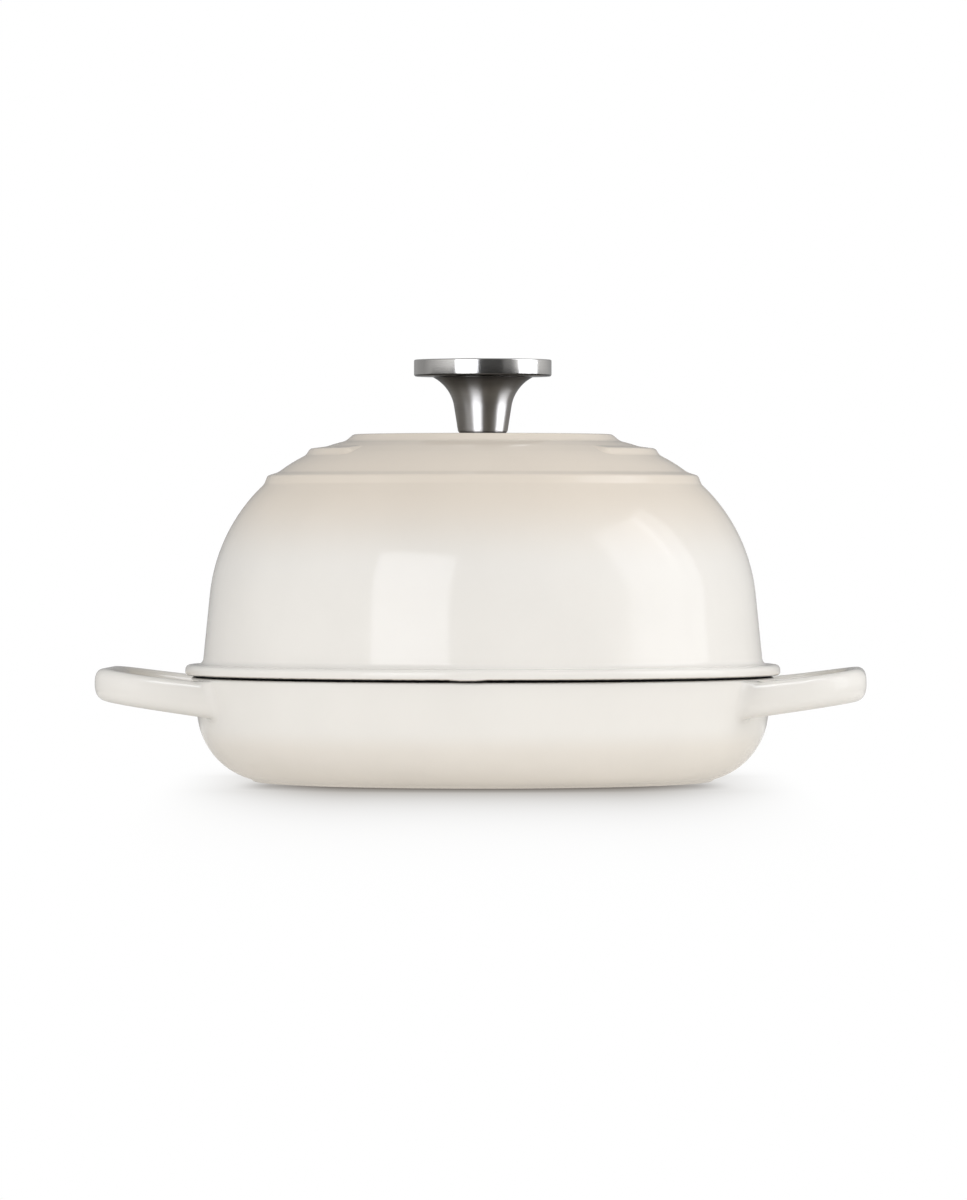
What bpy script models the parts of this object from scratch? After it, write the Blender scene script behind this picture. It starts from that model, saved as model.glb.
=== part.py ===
"""Enamelled cast iron bread oven: a shallow round pan with two loop handles, and a tall domed lid with a
stainless steel knob that a screw holds from inside.

Units are metres and +Z is up. The origin is the middle of the circle that the pan stands on, and the handles
point along +X and -X. The lid and what is fixed to it hang on an empty in the plane where the lid seats, on
the pan's axis, because the lid lifts straight off along that axis.
"""

import math

import bmesh
import bpy
from mathutils import Matrix, Vector

# Fits
SEAT_CLEARANCE = 0.0003  # between two pieces that touch when the oven is put together
LIP_CLEARANCE = 0.0010  # round the lid's lip, inside the pan's rim

# Pan
RIM_RADIUS = 0.1219
PAN_HEIGHT = 0.0434
PAN_WALL = 0.0045
PAN_DRAFT = math.radians(9.6)
PAN_CORNER_RADIUS = 0.030
RIM_ROUND = 0.0012
FLOOR_THICKNESS = 0.0045
FOOT_RADIUS = 0.0956
FOOT_WIDTH = 0.0105
FOOT_FLARE = 0.0014
UNDERSIDE_RECESS = 0.0010

# Ridges on the pan's floor, on which the loaf stands
RIDGE_PITCH = 0.010
RIDGE_WIDTH = 0.0044
RIDGE_HEIGHT = 0.0010
RIDGE_MARGIN = 0.013
BARE_CENTRE_RADIUS = 0.030

# Loop handles
HANDLE_REACH = 0.0381
HANDLE_HALF_SPAN = 0.048
HANDLE_TURN_RADIUS = 0.023
HANDLE_THICKNESS = 0.0104
HANDLE_DEPTH = 0.0135
HANDLE_SQUARENESS = 0.8  # 1 is an ellipse, and less is squarer
HANDLE_TILT = math.radians(8.5)
HANDLE_DROP = 0.0011

# Lid
SEAT_GAP = 0.0009
FLANGE_OVERHANG = 0.0022
FLANGE_THICKNESS = 0.0044
FLANGE_TOP_ROUND = 0.0023
FLANGE_FILLET = 0.0028
LIP_DEPTH = 0.0035
DOME_OVER_LIP = 0.0005
DOME_DRAFT = math.radians(5.8)
DOME_WALL = 0.0040
CROWN_RADIUS = 0.0729
CROWN_CENTRE_HEIGHT = 0.0264

# Terraces that step down the crown: the plateau, a ring in two arcs, and a whole ring
OUTER_TERRACE_INSET = 0.0256
TERRACE_PITCH = 0.0174
TERRACE_STEP = 0.0017
TERRACE_SIDE = 0.0019
TERRACE_ROUND = 0.0014
OUTER_TERRACE_WIDTH = 0.0059
MIDDLE_TERRACE_WIDTH = 0.0086
MIDDLE_TERRACE_HALF_ANGLE = math.radians(44.5)
PLATEAU_STEP = 0.0023
PLATEAU_SIDE = 0.0017

# Nubs under the flange, on which the lid rests
NUB_COUNT = 3
NUB_WIDTH = 0.0085
NUB_LENGTH = 0.0036
FIRST_NUB_ANGLE = math.radians(-90.0)

# Knob
KNOB_HEIGHT = 0.0311
CAP_RADIUS = 0.0287
CAP_THICKNESS = 0.0070
CAP_WALL = 0.0018
CAP_EDGE_ROUND = 0.0014
CAP_DISH_RADIUS = 0.0215
CAP_DISH_DEPTH = 0.0005
FLARE_RADIUS = 0.0207
FLARE_EDGE = 0.0004
FLARE_SWEEP = 0.0164
STEM_FOOT_RADIUS = 0.0102
STEM_FOOT_ROUND = 0.0010
STEM_TAPER = math.radians(9.0)
STEM_WALL = 0.0015
SPIGOT_RADIUS = 0.0167
SPIGOT_HEIGHT = 0.0024
INSERT_RADIUS = 0.0064
INSERT_HEIGHT = 0.0140

# Screw and washers
SCREW_RADIUS = 0.0030
SCREW_HOLE_CLEARANCE = 0.0004
SCREW_END_MARGIN = 0.0020
HEAD_RADIUS = 0.0057
HEAD_HEIGHT = 0.0032
RECESS_WIDTH = 0.0011
RECESS_LENGTH = 0.0046
RECESS_DEPTH = 0.0018
LOCK_WASHER_RADIUS = 0.0056
LOCK_WASHER_THICKNESS = 0.0015
LOCK_WASHER_SPLIT = 0.0010
LOCK_WASHER_SLANT = math.radians(25.0)
FLAT_WASHER_RADIUS = 0.0075
FLAT_WASHER_THICKNESS = 0.0012

# Facets
CASTING_STEPS = 48
KNOB_STEPS = 36
SCREW_STEPS = 20
ARC_TURN = math.radians(9.0)
FILLET_TURN = math.radians(36.0)
HANDLE_SIDES = 16
SMOOTH_ANGLE = math.radians(35.0)
FREE_REACH = 0.010  # how far a cutter runs past what it cuts


# Outlines


def arc(centre, radius, start, end, turn=ARC_TURN):
    """Points from angle start to angle end round centre, both ends included."""
    count = max(1, math.ceil(abs(end - start) / turn - 1e-6))
    angles = [start + (end - start) * i / count for i in range(count + 1)]
    return [Vector(centre) + radius * Vector((math.cos(a), math.sin(a))) for a in angles]


def rounded(corners, closed=False, turn=FILLET_TURN):
    """The outline through corners (x, y) or (x, y, fillet), with each fillet held to what its sides allow."""
    points = []
    count = len(corners)
    for i, corner in enumerate(corners):
        here = Vector(corner[:2])
        fillet = corner[2] if len(corner) > 2 else 0.0
        at_end = not closed and i in (0, count - 1)
        if fillet <= 0.0 or at_end:
            points.append(here)
            continue
        back = Vector(corners[i - 1][:2]) - here
        ahead = Vector(corners[(i + 1) % count][:2]) - here
        half = back.angle(ahead) / 2
        room = 0.48 * min(back.length, ahead.length)
        reach = min(fillet / math.tan(half), room)
        radius = reach * math.tan(half)
        centre = here + (back.normalized() + ahead.normalized()).normalized() * (radius / math.sin(half))
        first = here + back.normalized() * reach - centre
        last = here + ahead.normalized() * reach - centre
        start = math.atan2(first.y, first.x)
        sweep = math.remainder(math.atan2(last.y, last.x) - start, math.tau)
        points += arc(centre, radius, start, start + sweep, turn)
    return points


def tangent_centre(wall_point, lean, radius, centre_height):
    """Centre at centre_height of an arc that touches, from inside, the wall through wall_point.

    lean is how far the wall's outward normal points above the horizontal.
    """
    below = (wall_point.y - centre_height) * math.sin(lean)
    return Vector((wall_point.x - (radius - below) / math.cos(lean), centre_height))


# Objects


def hex_to_linear(code):
    """An sRGB hex colour as the linear RGBA that a shader takes."""
    channels = [int(code[i : i + 2], 16) / 255 for i in (1, 3, 5)]
    linear = [c / 12.92 if c <= 0.04045 else ((c + 0.055) / 1.055) ** 2.4 for c in channels]
    return (*linear, 1.0)


def principled(name, code, roughness, metallic):
    """A material of one colour."""
    material = bpy.data.materials.new(name)
    material.use_nodes = True
    shader = material.node_tree.nodes["Principled BSDF"]
    shader.inputs["Base Color"].default_value = hex_to_linear(code)
    shader.inputs["Roughness"].default_value = roughness
    shader.inputs["Metallic"].default_value = metallic
    return material


def add_object(name, data, collection, parent=None, material=None):
    """A new object that holds data."""
    obj = bpy.data.objects.new(name, data)
    collection.objects.link(obj)
    obj.parent = parent
    if material:
        obj.data.materials.append(material)
    if collection is helpers:
        obj.hide_render = True
        obj.display_type = "WIRE"
    return obj


def turned(name, outline, steps, closed, **placing):
    """A solid turned round Z from an outline of (radius, height) that runs down its outer side."""
    mesh = bpy.data.meshes.new(name)
    edges = [(i, i + 1) for i in range(len(outline) - 1)]
    if closed:
        edges.append((len(outline) - 1, 0))
    mesh.from_pydata([(p[0], 0.0, p[1]) for p in outline], edges, [])
    obj = add_object(name, mesh, **placing)
    screw = obj.modifiers.new("Turn", "SCREW")
    screw.steps = steps
    screw.render_steps = steps
    screw.use_merge_vertices = True
    screw.merge_threshold = 0.00001
    screw.use_smooth_shade = True
    return obj


def box(name, size, matrix, **placing):
    """A box with its middle at the matrix's origin."""
    mesh = bpy.data.meshes.new(name)
    shape = bmesh.new()
    bmesh.ops.create_cube(shape, size=1.0, matrix=matrix @ Matrix.Diagonal((*size, 1.0)))
    shape.to_mesh(mesh)
    shape.free()
    return add_object(name, mesh, **placing)


def curve_to_solid(curve_object, name, **placing):
    """The closed mesh that a curve object shows, as a new object in the same place."""
    bpy.context.view_layer.update()
    graph = bpy.context.evaluated_depsgraph_get()
    mesh = bpy.data.meshes.new_from_object(curve_object.evaluated_get(graph))
    shape = bmesh.new()
    shape.from_mesh(mesh)
    bmesh.ops.remove_doubles(shape, verts=shape.verts, dist=0.000001)
    bmesh.ops.recalc_face_normals(shape, faces=shape.faces)
    shape.to_mesh(mesh)
    shape.free()
    solid = add_object(name, mesh, **placing)
    solid.matrix_world = curve_object.matrix_world
    bpy.data.objects.remove(curve_object)
    return solid


def spline(name, points, closed, dimensions):
    """A curve object of straight stretches through points (x, y)."""
    curve = bpy.data.curves.new(name, "CURVE")
    curve.dimensions = dimensions
    run = curve.splines.new("POLY")
    run.points.add(len(points) - 1)
    for slot, point in zip(run.points, points):
        slot.co = (point[0], point[1], 0.0, 1.0)
    run.use_cyclic_u = closed
    return add_object(name, curve, helpers)


def combine(target, operation, other):
    """Joins other to target, cuts it away, or keeps what both share."""
    step = target.modifiers.new(operation.title() + " " + other.name, "BOOLEAN")
    step.operation = operation
    step.object = other
    step.solver = "EXACT"


def shading_tree():
    """A node tree that shades a mesh round, apart from edges that turn by more than SMOOTH_ANGLE."""
    tree = bpy.data.node_groups.new("Round shading", "GeometryNodeTree")
    tree.interface.new_socket("Mesh", in_out="INPUT", socket_type="NodeSocketGeometry")
    tree.interface.new_socket("Mesh", in_out="OUTPUT", socket_type="NodeSocketGeometry")
    start = tree.nodes.new("NodeGroupInput")
    whole = tree.nodes.new("GeometryNodeSetShadeSmooth")
    angle = tree.nodes.new("GeometryNodeInputMeshEdgeAngle")
    steep = tree.nodes.new("FunctionNodeCompare")
    steep.operation = "GREATER_THAN"
    steep.inputs["B"].default_value = SMOOTH_ANGLE
    edges = tree.nodes.new("GeometryNodeSetShadeSmooth")
    edges.domain = "EDGE"
    edges.inputs["Shade Smooth"].default_value = False
    end = tree.nodes.new("NodeGroupOutput")
    tree.links.new(start.outputs["Mesh"], whole.inputs["Geometry"])
    tree.links.new(whole.outputs["Geometry"], edges.inputs["Geometry"])
    tree.links.new(angle.outputs["Unsigned Angle"], steep.inputs["A"])
    tree.links.new(steep.outputs["Result"], edges.inputs["Selection"])
    tree.links.new(edges.outputs["Geometry"], end.inputs["Mesh"])
    return tree


# Pan: one casting with its two handles


def pan_outside():
    """The pan's outer profile, solid to the axis."""
    rim = Vector((RIM_RADIUS, PAN_HEIGHT))
    centre = tangent_centre(rim, -PAN_DRAFT, PAN_CORNER_RADIUS, PAN_CORNER_RADIUS)
    foot_angle = -math.acos(min(1.0, (FOOT_RADIUS + FOOT_FLARE - centre.x) / PAN_CORNER_RADIUS))
    side = arc(centre, PAN_CORNER_RADIUS, -PAN_DRAFT, foot_angle)
    foot_inner = FOOT_RADIUS - FOOT_WIDTH
    top = rounded([(0, PAN_HEIGHT), (*rim, RIM_ROUND), side[0]])
    foot = rounded([side[-1], (FOOT_RADIUS, 0, 0.0005), (foot_inner, 0)])
    hollow = [(foot_inner - UNDERSIDE_RECESS, UNDERSIDE_RECESS), (0, UNDERSIDE_RECESS)]
    return top + side[1:] + foot[1:] + hollow


def floor_outline(flat_radius, height):
    """The pan's floor from its edge to the axis, with rings of low ridges round a bare centre."""
    points = []
    radius = flat_radius - RIDGE_MARGIN
    while radius - RIDGE_WIDTH / 2 > BARE_CENTRE_RADIUS:
        points.append((radius + RIDGE_WIDTH / 2, height))
        points.append((radius + RIDGE_WIDTH / 5, height + RIDGE_HEIGHT))
        points.append((radius - RIDGE_WIDTH / 5, height + RIDGE_HEIGHT))
        points.append((radius - RIDGE_WIDTH / 2, height))
        radius -= RIDGE_PITCH
    return points + [(0, height)]


def pan_inside():
    """The space inside the pan, up past its rim."""
    across = PAN_WALL / math.cos(PAN_DRAFT)
    rim = Vector((RIM_RADIUS - across, PAN_HEIGHT))
    floor = UNDERSIDE_RECESS + FLOOR_THICKNESS
    radius = PAN_CORNER_RADIUS - PAN_WALL
    centre = tangent_centre(rim, -PAN_DRAFT, radius, floor + radius)
    mouth = rim.x + RIM_ROUND
    edge = [(mouth, PAN_HEIGHT), (rim.x - RIM_ROUND * math.tan(PAN_DRAFT), PAN_HEIGHT - RIM_ROUND)]
    above = [(0, PAN_HEIGHT + FREE_REACH), (mouth, PAN_HEIGHT + FREE_REACH)]
    side = arc(centre, radius, -PAN_DRAFT, -math.pi / 2)
    return above + edge + side + floor_outline(centre.x, floor)


def handle(name, turn):
    """One loop: a bar of oval section that runs out of the wall, along, and back into the wall.

    Its faces stay upright, so the loop is sheared up towards its tip and not turned.
    """
    oval = []
    for point in arc((0, 0), 1.0, 0.0, math.tau, math.tau / HANDLE_SIDES)[:-1]:
        x, y = (math.copysign(abs(part) ** HANDLE_SQUARENESS, part) for part in point)
        oval.append((x * HANDLE_THICKNESS / 2, y * HANDLE_DEPTH / 2))
    section = spline(name + "_section", oval, True, "2D")
    tip = HANDLE_REACH - HANDLE_THICKNESS / 2
    root = math.sqrt(RIM_RADIUS**2 - HANDLE_HALF_SPAN**2) - RIM_RADIUS - PAN_WALL * 2
    way = rounded(
        [
            (root, HANDLE_HALF_SPAN),
            (tip, HANDLE_HALF_SPAN, HANDLE_TURN_RADIUS),
            (tip, -HANDLE_HALF_SPAN, HANDLE_TURN_RADIUS),
            (root, -HANDLE_HALF_SPAN),
        ],
        turn=2 * ARC_TURN,
    )
    path = spline(name + "_path", way, False, "3D")
    path.data.twist_mode = "Z_UP"
    path.data.bevel_mode = "OBJECT"
    path.data.bevel_object = section
    path.data.use_fill_caps = True
    height = PAN_HEIGHT - HANDLE_DROP - HANDLE_DEPTH / 2
    path.matrix_world = Matrix.Rotation(turn, 4, "Z") @ Matrix.Translation((RIM_RADIUS, 0, height))
    loop = curve_to_solid(path, name, collection=helpers)
    rise = Matrix.Identity(4)
    rise[2][0] = math.tan(HANDLE_TILT)
    loop.data.transform(rise)
    bpy.data.objects.remove(section)
    return loop


def make_pan():
    """The pan with its handles, hollowed after they are joined so that no root shows inside."""
    pan = turned("base_pan", pan_outside(), CASTING_STEPS, False, collection=oven, material=cream_enamel)
    for name, turn in (("handle_right", 0.0), ("handle_left", math.pi)):
        combine(pan, "UNION", handle(name, turn))
    inside = turned("pan_inside", pan_inside(), CASTING_STEPS, False, collection=helpers)
    combine(pan, "DIFFERENCE", inside)
    return pan


# Lid: a dome with a flange, and a lip that drops inside the pan's rim

lip_radius = RIM_RADIUS - PAN_WALL / math.cos(PAN_DRAFT) - LIP_CLEARANCE
dome_radius = lip_radius + DOME_OVER_LIP
flange_radius = RIM_RADIUS + FLANGE_OVERHANG
dome_foot = Vector((dome_radius, FLANGE_THICKNESS))
crown_centre = tangent_centre(dome_foot, DOME_DRAFT, CROWN_RADIUS, CROWN_CENTRE_HEIGHT)
inner_crown_radius = CROWN_RADIUS - DOME_WALL
inner_top = crown_centre.y + inner_crown_radius
screw_hole_radius = SCREW_RADIUS + SCREW_HOLE_CLEARANCE


def crown_point(radius, proud=0.0):
    """The crown's surface above this radius, or the point that stands proud of it there."""
    out = max(0.0, radius - crown_centre.x)
    angle = math.acos(min(1.0, out / CROWN_RADIUS))
    if out == 0.0:
        return Vector((radius, crown_centre.y + CROWN_RADIUS + proud))
    return crown_centre + (CROWN_RADIUS + proud) * Vector((math.cos(angle), math.sin(angle)))


def crown_arc(first_radius, last_radius):
    """The crown's surface from one radius out to a larger one."""
    angles = []
    for radius in (first_radius, last_radius):
        offset = crown_point(radius) - crown_centre
        angles.append(math.atan2(offset.y, max(0.0, offset.x)))
    points = arc(crown_centre, CROWN_RADIUS, *angles)
    return [crown_point(first_radius)] + points[1:]


def terrace_edge(count):
    """The outer radius of a terrace, counted inwards from the outer one."""
    return dome_radius - OUTER_TERRACE_INSET - count * TERRACE_PITCH


def terrace(outer, width):
    """The top, corner and foot of one terrace: level with the crown at its inner edge, proud at its outer."""
    corner = crown_point(outer - TERRACE_SIDE, TERRACE_STEP)
    return rounded([crown_point(outer - width), (*corner, TERRACE_ROUND), crown_point(outer)])


plateau_edge = terrace_edge(2)
plateau_height = crown_point(plateau_edge - PLATEAU_SIDE).y + PLATEAU_STEP


def lid_outline():
    """The lid's closed profile: down the outside, in under the flange and the lip, and up the inside."""
    outer_edge = terrace_edge(0)
    ring = terrace(outer_edge, OUTER_TERRACE_WIDTH)
    wall_top = crown_centre + CROWN_RADIUS * Vector((math.cos(DOME_DRAFT), math.sin(DOME_DRAFT)))
    start = math.acos((outer_edge - crown_centre.x) / CROWN_RADIUS)
    plateau = rounded(
        [
            (screw_hole_radius, plateau_height),
            (plateau_edge - PLATEAU_SIDE, plateau_height, TERRACE_ROUND),
            crown_point(plateau_edge),
        ]
    )
    crown = crown_arc(plateau_edge, outer_edge - OUTER_TERRACE_WIDTH)
    shoulder = arc(crown_centre, CROWN_RADIUS, start, DOME_DRAFT)
    inner_draft = DOME_WALL / math.cos(DOME_DRAFT)
    lip_inner = dome_radius - inner_draft + (FLANGE_THICKNESS + LIP_DEPTH) * math.tan(DOME_DRAFT)
    rim = rounded(
        [
            wall_top,
            (*dome_foot, FLANGE_FILLET),
            (flange_radius, FLANGE_THICKNESS, FLANGE_TOP_ROUND),
            (flange_radius, 0, RIM_ROUND),
            (lip_radius, 0),
            (lip_radius, -LIP_DEPTH, LIP_CLEARANCE),
            (lip_inner, -LIP_DEPTH),
        ]
    )
    inner = arc(crown_centre, inner_crown_radius, DOME_DRAFT, math.pi / 2)
    return plateau[:-1] + crown[:-1] + ring + shoulder[1:] + rim[1:] + inner + [(screw_hole_radius, inner_top)]


def terrace_arc(name, turn):
    """One arc of the middle terrace, with round ends."""
    outer = terrace_edge(1)
    width = MIDDLE_TERRACE_WIDTH
    edge = terrace(outer, width)
    depth = DOME_WALL / 2
    under = [(edge[-1].x - depth / 2, edge[-1].y - depth), (edge[0].x + depth / 2, edge[0].y - depth)]
    whole = turned(name, edge + under, CASTING_STEPS, True, collection=helpers, parent=lid_seat)
    middle = outer - width / 2
    tip = width / 2 / middle
    half = MIDDLE_TERRACE_HALF_ANGLE - tip
    ends = [middle * Vector((math.cos(a), math.sin(a))) for a in (turn + half, turn - half)]
    plan = arc((0, 0), outer, turn - half, turn + half)
    plan += arc(ends[0], width / 2, turn + half, turn + half + math.pi, FILLET_TURN)[1:-1]
    plan += arc((0, 0), outer - width, turn + half, turn - half)
    plan += arc(ends[1], width / 2, turn - half + math.pi, turn - half + math.tau, FILLET_TURN)[1:-1]
    flat = spline(name + "_plan", plan, True, "2D")
    flat.data.fill_mode = "BOTH"
    flat.data.extrude = plateau_height
    flat.matrix_world = lid_seat.matrix_world
    combine(whole, "INTERSECT", curve_to_solid(flat, name + "_prism", collection=helpers))
    return whole


def nub(name, turn):
    """A low pad under the flange, just clear of the pan's rim."""
    drop = SEAT_GAP - SEAT_CLEARANCE
    height = drop + FLANGE_THICKNESS / 3
    middle = flange_radius - RIM_ROUND - NUB_LENGTH / 2
    place = Matrix.Rotation(turn, 4, "Z") @ Matrix.Translation((middle, 0, height / 2 - drop))
    pad = box(name, (NUB_LENGTH, NUB_WIDTH, height), place, collection=helpers, parent=lid_seat)
    rounding = pad.modifiers.new("Round", "BEVEL")
    rounding.width = drop * 0.8
    rounding.segments = 2
    return pad


def make_lid():
    """The lid's casting."""
    lid = turned(
        "lid_dome",
        lid_outline(),
        CASTING_STEPS,
        True,
        collection=oven,
        parent=lid_seat,
        material=cream_enamel,
    )
    for name, turn in (("terrace_right", 0.0), ("terrace_left", math.pi)):
        combine(lid, "UNION", terrace_arc(name, turn))
    for i in range(NUB_COUNT):
        combine(lid, "UNION", nub(f"nub_{i + 1}", FIRST_NUB_ANGLE + i * math.tau / NUB_COUNT))
    return lid


# Knob: a cap on a flared stem, with a threaded bush in the stem


def make_cap():
    """The disc that the hand holds, a thick pressing with a pocket for the stem's spigot."""
    top = KNOB_HEIGHT
    bottom = top - CAP_THICKNESS
    pocket = SPIGOT_RADIUS + SEAT_CLEARANCE
    inside = top - CAP_DISH_DEPTH - CAP_WALL
    corners = [
        (0, top - CAP_DISH_DEPTH),
        (CAP_DISH_RADIUS, top - CAP_DISH_DEPTH),
        (CAP_DISH_RADIUS + 4 * CAP_DISH_DEPTH, top),
        (CAP_RADIUS, top, CAP_EDGE_ROUND),
        (CAP_RADIUS, bottom, CAP_EDGE_ROUND),
        (pocket, bottom),
        (pocket, inside),
        (0, inside),
    ]
    return turned("knob_cap", rounded(corners), KNOB_STEPS, False, **on_knob, material=brushed_steel)


def make_stem():
    """The stem: its side widens upwards and sweeps out under the cap, and its spigot stands in the cap."""
    flare = KNOB_HEIGHT - CAP_THICKNESS - SEAT_CLEARANCE
    foot = Vector((STEM_FOOT_RADIUS, SEAT_CLEARANCE))
    rim = Vector((FLARE_RADIUS, flare - FLARE_EDGE))
    bore = INSERT_RADIUS + SEAT_CLEARANCE
    inner = SPIGOT_RADIUS - STEM_WALL
    # The sweep is an arc that touches the tapered side and ends at the rim
    up = Vector((math.sin(STEM_TAPER), math.cos(STEM_TAPER)))
    out = Vector((up.y, -up.x))
    apart = foot + out * FLARE_SWEEP - rim
    along = -apart.dot(up) - math.sqrt(apart.dot(up) ** 2 - apart.length_squared + FLARE_SWEEP**2)
    centre = foot + out * FLARE_SWEEP + up * along
    end = math.atan2(rim.y - centre.y, rim.x - centre.x)
    sweep = arc(centre, FLARE_SWEEP, end, math.pi - STEM_TAPER, 1.5 * ARC_TURN)
    top = [(SPIGOT_RADIUS, flare + SPIGOT_HEIGHT), (SPIGOT_RADIUS, flare), (FLARE_RADIUS, flare)]
    base = rounded([sweep[-1], (*foot, STEM_FOOT_ROUND), (bore, foot.y)])
    hollow = [(bore, foot.y + SEAT_CLEARANCE + INSERT_HEIGHT), (inner, flare), (inner, flare + SPIGOT_HEIGHT)]
    outline = top + sweep[:-1] + base + hollow
    return turned("knob_stem", outline, KNOB_STEPS, True, **on_knob, material=satin_steel)


def make_insert():
    """The bush inside the stem that takes the screw."""
    foot = 2 * SEAT_CLEARANCE
    bevel = SEAT_CLEARANCE
    corners = [
        (screw_hole_radius + bevel, foot + INSERT_HEIGHT),
        (INSERT_RADIUS - bevel, foot + INSERT_HEIGHT),
        (INSERT_RADIUS, foot + INSERT_HEIGHT - bevel),
        (INSERT_RADIUS, foot + bevel),
        (INSERT_RADIUS - bevel, foot),
        (screw_hole_radius + bevel, foot),
        (screw_hole_radius, foot + bevel),
        (screw_hole_radius, foot + INSERT_HEIGHT - bevel),
    ]
    return turned("knob_insert", corners, SCREW_STEPS, True, **on_knob, material=plain_steel)


# Fasteners: a screw through the lid from inside, with a split washer and a flat washer under its head

flat_washer_top = inner_top - SEAT_CLEARANCE
lock_washer_top = flat_washer_top - FLAT_WASHER_THICKNESS - SEAT_CLEARANCE
head_top = lock_washer_top - LOCK_WASHER_THICKNESS - SEAT_CLEARANCE
screw_end = plateau_height + 2 * SEAT_CLEARANCE + INSERT_HEIGHT - SCREW_END_MARGIN


def washer(name, radius, thickness, top):
    """A ring round the screw, with its upper side at top."""
    bevel = SEAT_CLEARANCE
    corners = [
        (screw_hole_radius, top),
        (radius - bevel, top),
        (radius, top - bevel),
        (radius, top - thickness + bevel),
        (radius - bevel, top - thickness),
        (screw_hole_radius, top - thickness),
    ]
    return turned(name, corners, SCREW_STEPS, True, **on_lid, material=plain_steel)


def make_lock_washer():
    """The split spring washer: a slanted cut opens its ring."""
    ring = washer("lock_washer", LOCK_WASHER_RADIUS, LOCK_WASHER_THICKNESS, lock_washer_top)
    middle = lock_washer_top - LOCK_WASHER_THICKNESS / 2
    slant = Matrix.Rotation(LOCK_WASHER_SLANT, 4, "X")
    place = Matrix.Translation((LOCK_WASHER_RADIUS, 0, middle)) @ slant
    size = (2 * LOCK_WASHER_RADIUS - SCREW_RADIUS, LOCK_WASHER_SPLIT, 4 * LOCK_WASHER_THICKNESS)
    combine(ring, "DIFFERENCE", box("washer_split", size, place, collection=helpers, parent=lid_seat))
    return ring


def make_screw():
    """The pan head screw, its head down inside the lid, with a cross recess."""
    bevel = 2 * SEAT_CLEARANCE
    head_bottom = head_top - HEAD_HEIGHT
    corners = [
        (0, screw_end),
        (SCREW_RADIUS - bevel, screw_end),
        (SCREW_RADIUS, screw_end - bevel),
        (SCREW_RADIUS, head_top),
        (HEAD_RADIUS, head_top),
        (HEAD_RADIUS, head_top - HEAD_HEIGHT / 3),
        (HEAD_RADIUS, head_bottom, HEAD_HEIGHT / 2),
        (0, head_bottom),
    ]
    screw = turned("knob_screw", rounded(corners), SCREW_STEPS, False, **on_lid, material=plain_steel)
    size = (RECESS_LENGTH, RECESS_WIDTH, 2 * RECESS_DEPTH)
    for name, turn in (("recess_long", 0.0), ("recess_cross", math.pi / 2)):
        place = Matrix.Translation((0, 0, head_bottom)) @ Matrix.Rotation(turn, 4, "Z")
        combine(screw, "DIFFERENCE", box(name, size, place, collection=helpers, parent=lid_seat))
    return screw


# Assembly

for old in list(bpy.data.objects):
    bpy.data.objects.remove(old)

oven = bpy.data.collections.new("Bread oven")
helpers = bpy.data.collections.new("Cutters and guides")
for group in (oven, helpers):
    bpy.context.scene.collection.children.link(group)
helpers.hide_render = True

cream_enamel = principled("Cream enamel on cast iron", "#EEEBE2", 0.12, 0.0)
brushed_steel = principled("Brushed stainless steel", "#C4C2BE", 0.28, 1.0)
satin_steel = principled("Satin stainless steel", "#BDBAB4", 0.34, 1.0)
plain_steel = principled("Turned steel", "#B4B2AE", 0.38, 1.0)

lid_seat = bpy.data.objects.new("lid_seat", None)
oven.objects.link(lid_seat)
lid_seat.location = (0, 0, PAN_HEIGHT + SEAT_GAP)

knob_seat = bpy.data.objects.new("knob_seat", None)
oven.objects.link(knob_seat)
knob_seat.parent = lid_seat
knob_seat.location = (0, 0, plateau_height)
bpy.context.view_layer.update()

on_lid = {"collection": oven, "parent": lid_seat}
on_knob = {"collection": oven, "parent": knob_seat}

make_pan()
make_lid()
make_cap()
make_stem()
make_insert()
make_screw()
make_lock_washer()
washer("flat_washer", FLAT_WASHER_RADIUS, FLAT_WASHER_THICKNESS, flat_washer_top)

round_shading = shading_tree()
for piece in oven.objects:
    if piece.type == "MESH":
        piece.modifiers.new("Shading", "NODES").node_group = round_shading
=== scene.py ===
"""Looks of an enamelled cast iron bread oven: a pan with two loop handles, and a domed lid with a steel knob.

Units are metres, +Z is up and the handles point along +X and -X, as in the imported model. Each section below
makes one piece, in the order in which the oven is put together, and the studio comes last.
"""

from math import acos, atan2, ceil, cos, hypot, pi, radians, remainder, sin, sqrt, tan, tau

import bmesh
import bpy
import numpy as np
from mathutils import Matrix, Vector


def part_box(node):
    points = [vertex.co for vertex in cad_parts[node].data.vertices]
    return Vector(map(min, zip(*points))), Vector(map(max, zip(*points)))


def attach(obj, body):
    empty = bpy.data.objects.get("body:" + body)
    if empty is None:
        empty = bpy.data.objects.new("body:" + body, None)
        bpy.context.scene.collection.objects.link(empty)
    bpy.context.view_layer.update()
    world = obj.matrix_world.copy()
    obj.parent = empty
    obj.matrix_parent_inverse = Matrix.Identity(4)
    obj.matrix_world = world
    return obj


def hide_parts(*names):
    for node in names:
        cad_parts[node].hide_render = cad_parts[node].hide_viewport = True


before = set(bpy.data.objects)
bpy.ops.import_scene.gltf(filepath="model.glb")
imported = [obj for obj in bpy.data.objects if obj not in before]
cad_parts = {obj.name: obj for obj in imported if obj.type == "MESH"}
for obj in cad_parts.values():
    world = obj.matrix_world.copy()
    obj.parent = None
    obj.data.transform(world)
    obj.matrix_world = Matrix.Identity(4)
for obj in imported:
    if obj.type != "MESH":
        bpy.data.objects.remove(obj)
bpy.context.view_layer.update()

for left_over in ("Cube", "Light", "Camera"):
    if left_over in bpy.data.objects:
        bpy.data.objects.remove(bpy.data.objects[left_over])


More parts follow.
